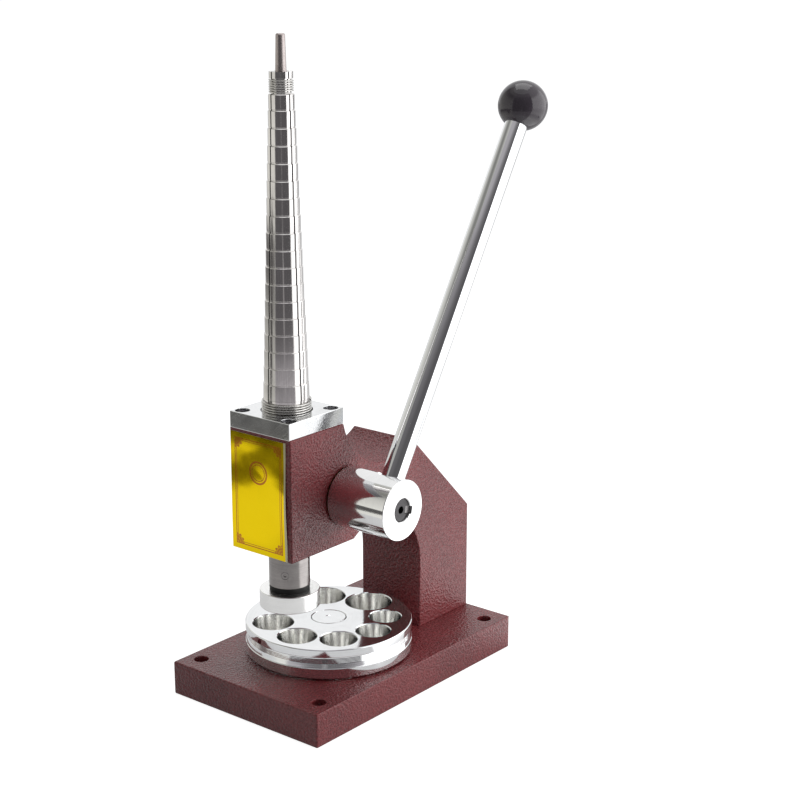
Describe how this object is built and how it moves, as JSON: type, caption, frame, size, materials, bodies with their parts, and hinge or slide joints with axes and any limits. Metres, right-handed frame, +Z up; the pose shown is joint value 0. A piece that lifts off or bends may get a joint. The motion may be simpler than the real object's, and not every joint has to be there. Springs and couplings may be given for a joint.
{
  "type": "bench ring stretcher",
  "caption": "Hand-lever bench machine that spreads finger rings on a stepped mandrel and presses them smaller in a rotating plate of tapered dies.",
  "frame": {"origin": "centre of the base plate's underside", "axes": "+X towards the lever, -Y towards the label, +Z up along the mandrel"},
  "size_m": [0.108, 0.1837, 0.3392],
  "materials": {
    "maroon_paint": "glossy hammered maroon enamel",
    "chrome": "mirror chrome plating",
    "mandrel_steel": "polished, finely turned tool steel",
    "rod_steel": "dull brown-grey ground steel",
    "ram_steel": "satin ground steel",
    "black_rubber": "matt black",
    "black_plastic": "high gloss black",
    "gold_foil": "glossy gold film with printed borders",
    "bronze": "turned sintered bronze",
    "gear_steel": "machined steel, lightly oiled",
    "black_oxide": "blackened steel",
    "spring_steel": "drawn spring wire"
  },
  "bodies": {
    "frame": {"base_plate": "maroon_paint", "c_frame": "maroon_paint", "frame_bolts": "black_oxide", "top_plate": "chrome", "plate_screws": "black_oxide", "foil_label": "gold_foil", "die_pivot_pin": "chrome", "die_washer": "bronze", "bearing_bush_right": "bronze", "bearing_bush_left": "bronze", "upper_band_spring": "spring_steel", "lower_band_spring": "spring_steel"},
    "lever": {"drive_pinion": "gear_steel", "pinion_key": "gear_steel", "pinion_shaft": "gear_steel", "hub_washer": "black_oxide", "lever_hub": "chrome", "hub_key": "gear_steel", "hub_set_screw": "black_oxide", "lever_rod": "chrome", "ball_knob": "black_plastic", "end_washer": "gear_steel", "retaining_ring": "black_oxide"},
    "press_ram": {"ram": "ram_steel", "draw_rod": "rod_steel", "buffer_ring": "black_rubber", "pusher_cap": "ram_steel", "cap_pin": "ram_steel"},
    "die_table": {"die_plate": "chrome"},
    "segment_1": {"mandrel_segment_1": "mandrel_steel"},
    "segment_2": {"mandrel_segment_2": "mandrel_steel"},
    "segment_3": {"mandrel_segment_3": "mandrel_steel"},
    "segment_4": {"mandrel_segment_4": "mandrel_steel"}
  },
  "joints": [
    {"name": "lever_turn", "type": "hinge", "parent": "frame", "child": "lever", "pos_m": [0, -0.02324, 0.1094], "axis": [1, 0, 0], "range_deg": [-60.5, 73.5]},
    {"name": "ram_slide", "type": "slide", "parent": "frame", "child": "press_ram", "axis": [0, 0, 1], "range_m": [-0.0165, 0.0136]},
    {"name": "die_table_turn", "type": "hinge", "parent": "frame", "child": "die_table", "pos_m": [0, -0.01419, 0.03], "axis": [0, 0, 1], "continuous": true},
    {"name": "segment_1_slide", "type": "slide", "parent": "frame", "child": "segment_1", "axis": [0.7986, 0.6018, 0], "range_m": [-0.000429, 0.000354], "deforming": ["upper_band_spring", "lower_band_spring"]},
    {"name": "segment_2_slide", "type": "slide", "parent": "frame", "child": "segment_2", "axis": [-0.6018, 0.7986, 0], "range_m": [-0.000429, 0.000354]},
    {"name": "segment_3_slide", "type": "slide", "parent": "frame", "child": "segment_3", "axis": [-0.7986, -0.6018, 0], "range_m": [-0.000429, 0.000354]},
    {"name": "segment_4_slide", "type": "slide", "parent": "frame", "child": "segment_4", "axis": [0.6018, -0.7986, 0], "range_m": [-0.000429, 0.000354]}
  ],
  "couplings": [
    {"joint": "ram_slide", "follows": "lever_turn", "m_per_rad": -0.01275},
    {"joint": "segment_1_slide", "follows": "lever_turn", "m_per_rad": -0.0003315},
    {"joint": "segment_2_slide", "follows": "lever_turn", "m_per_rad": -0.0003315},
    {"joint": "segment_3_slide", "follows": "lever_turn", "m_per_rad": -0.0003315},
    {"joint": "segment_4_slide", "follows": "lever_turn", "m_per_rad": -0.0003315}
  ]
}
